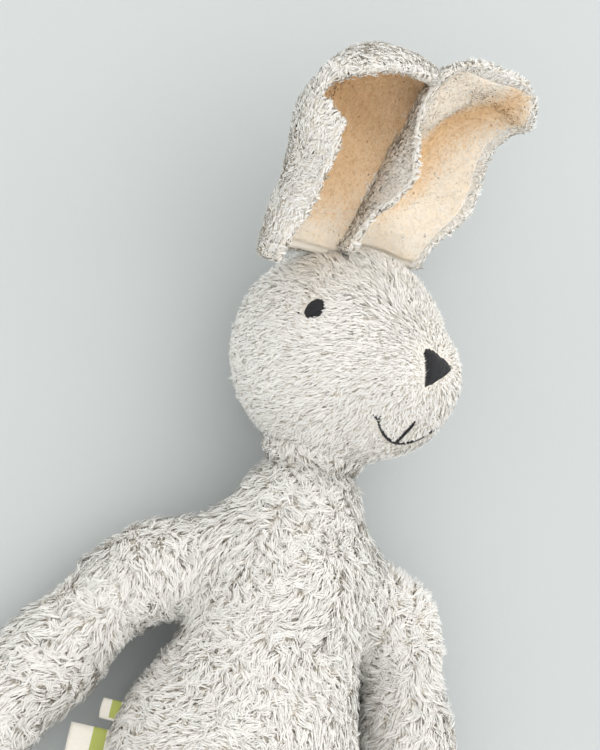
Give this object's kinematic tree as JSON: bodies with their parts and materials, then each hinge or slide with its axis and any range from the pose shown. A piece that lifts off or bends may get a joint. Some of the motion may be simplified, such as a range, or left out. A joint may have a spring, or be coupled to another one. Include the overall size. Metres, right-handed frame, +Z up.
{
  "type": "stuffed bunny rabbit",
  "caption": "Soft plush bunny lying on its back, head turned to its left, with long cupped ears, an embroidered face, arms and legs that move, and a round tail.",
  "frame": {"origin": "middle of the flat patch of the back that the toy lies on, on the body's centre plane", "axes": "+Z up from the surface through the belly, +Y from the feet to the crown, +X to the bunny's left"},
  "size_m": [0.2411, 0.474, 0.111],
  "materials": {
    "plush": "cotton plush, ivory, clumped pile about 8 mm long",
    "velour_lining": "short cream velour",
    "fibre_stuffing": "carded fibre fill, off-white",
    "eye_thread": "black satin stitch",
    "nose_thread": "charcoal satin stitch",
    "mouth_thread": "charcoal stem stitch",
    "seam_thread": "tan sewing thread",
    "label_tape": "cream woven tape with green bars"
  },
  "bodies": {
    "torso": {"torso_front_cover": "plush", "torso_back_cover": "plush", "torso_stuffing": "fibre_stuffing", "closing_seam_stitches": "seam_thread", "ribbon_label": "label_tape", "care_label": "label_tape", "tail": "plush"},
    "neck": {"neck_stuffing": "fibre_stuffing", "neck_seam_thread": "seam_thread"},
    "head": {"head_centre_gusset": "plush", "head_left_cover": "plush", "head_right_cover": "plush", "head_stuffing": "fibre_stuffing", "eye_left": "eye_thread", "eye_right": "eye_thread", "nose": "nose_thread", "mouth": "mouth_thread"},
    "ear_left": {"ear_left_back": "plush", "ear_left_lining": "velour_lining"},
    "shoulder_left": {"shoulder_left_cover": "plush", "shoulder_left_stuffing": "fibre_stuffing"},
    "arm_left": {"arm_left_front_cover": "plush", "arm_left_back_cover": "plush", "arm_left_stuffing": "fibre_stuffing"},
    "thigh_left": {"thigh_left_cover": "plush", "thigh_left_stuffing": "fibre_stuffing"},
    "leg_left": {"leg_left_front_cover": "plush", "leg_left_back_cover": "plush", "leg_left_stuffing": "fibre_stuffing"},
    "ear_right": {"ear_right_back": "plush", "ear_right_lining": "velour_lining"},
    "shoulder_right": {"shoulder_right_cover": "plush", "shoulder_right_stuffing": "fibre_stuffing"},
    "arm_right": {"arm_right_front_cover": "plush", "arm_right_back_cover": "plush", "arm_right_stuffing": "fibre_stuffing"},
    "thigh_right": {"thigh_right_cover": "plush", "thigh_right_stuffing": "fibre_stuffing"},
    "leg_right": {"leg_right_front_cover": "plush", "leg_right_back_cover": "plush", "leg_right_stuffing": "fibre_stuffing"}
  },
  "joints": [
    {"name": "neck_turn", "type": "hinge", "parent": "torso", "child": "neck", "pos_m": [0, 0.092, 0.038], "axis": [0, 1, 0], "range_deg": [-85, 30]},
    {"name": "neck_nod", "type": "hinge", "parent": "neck", "child": "head", "pos_m": [0, 0.092, 0.038], "axis": [0.8862, 0, -0.4633], "range_deg": [-30, 20]},
    {"name": "ear_left_fold", "type": "hinge", "parent": "head", "child": "ear_left", "pos_m": [0.00749, 0.18019, 0.03318], "axis": [0.883, 0.1045, -0.4575], "range_deg": [-75, 10]},
    {"name": "shoulder_left_lift", "type": "hinge", "parent": "torso", "child": "shoulder_left", "pos_m": [0.05156, 0.043, 0.028], "axis": [-0.94, -0.3412, 0], "range_deg": [0, 90]},
    {"name": "arm_left_spread", "type": "hinge", "parent": "shoulder_left", "child": "arm_left", "pos_m": [0.05904, 0.02238, 0.02626], "axis": [0.0269, -0.0742, 0.9969], "range_deg": [-5, 45]},
    {"name": "hip_left_flex", "type": "hinge", "parent": "torso", "child": "thigh_left", "pos_m": [0.024, -0.08937, 0.028], "axis": [-1, 0, 0], "range_deg": [0, 90]},
    {"name": "leg_left_splay", "type": "hinge", "parent": "thigh_left", "child": "leg_left", "pos_m": [0.02919, -0.11377, 0.02629], "axis": [0.0142, -0.0669, 0.9977], "range_deg": [-10, 35]},
    {"name": "ear_right_fold", "type": "hinge", "parent": "head", "child": "ear_right", "pos_m": [-0.03019, 0.16807, 0.0524], "axis": [0.8602, 0.2587, -0.4395], "range_deg": [-75, 10]},
    {"name": "shoulder_right_lift", "type": "hinge", "parent": "torso", "child": "shoulder_right", "pos_m": [-0.05156, 0.043, 0.028], "axis": [-0.8531, 0.5217, 0], "range_deg": [0, 90]},
    {"name": "arm_right_spread", "type": "hinge", "parent": "shoulder_right", "child": "arm_right", "pos_m": [-0.063, 0.02429, 0.02626], "axis": [0.0412, 0.0674, -0.9969], "range_deg": [-5, 45]},
    {"name": "hip_right_flex", "type": "hinge", "parent": "torso", "child": "thigh_right", "pos_m": [-0.024, -0.08937, 0.028], "axis": [-1, 0, 0], "range_deg": [0, 90]},
    {"name": "leg_right_splay", "type": "hinge", "parent": "thigh_right", "child": "leg_right", "pos_m": [-0.02919, -0.11377, 0.02629], "axis": [0.0142, 0.0669, -0.9977], "range_deg": [-10, 35]}
  ]
}
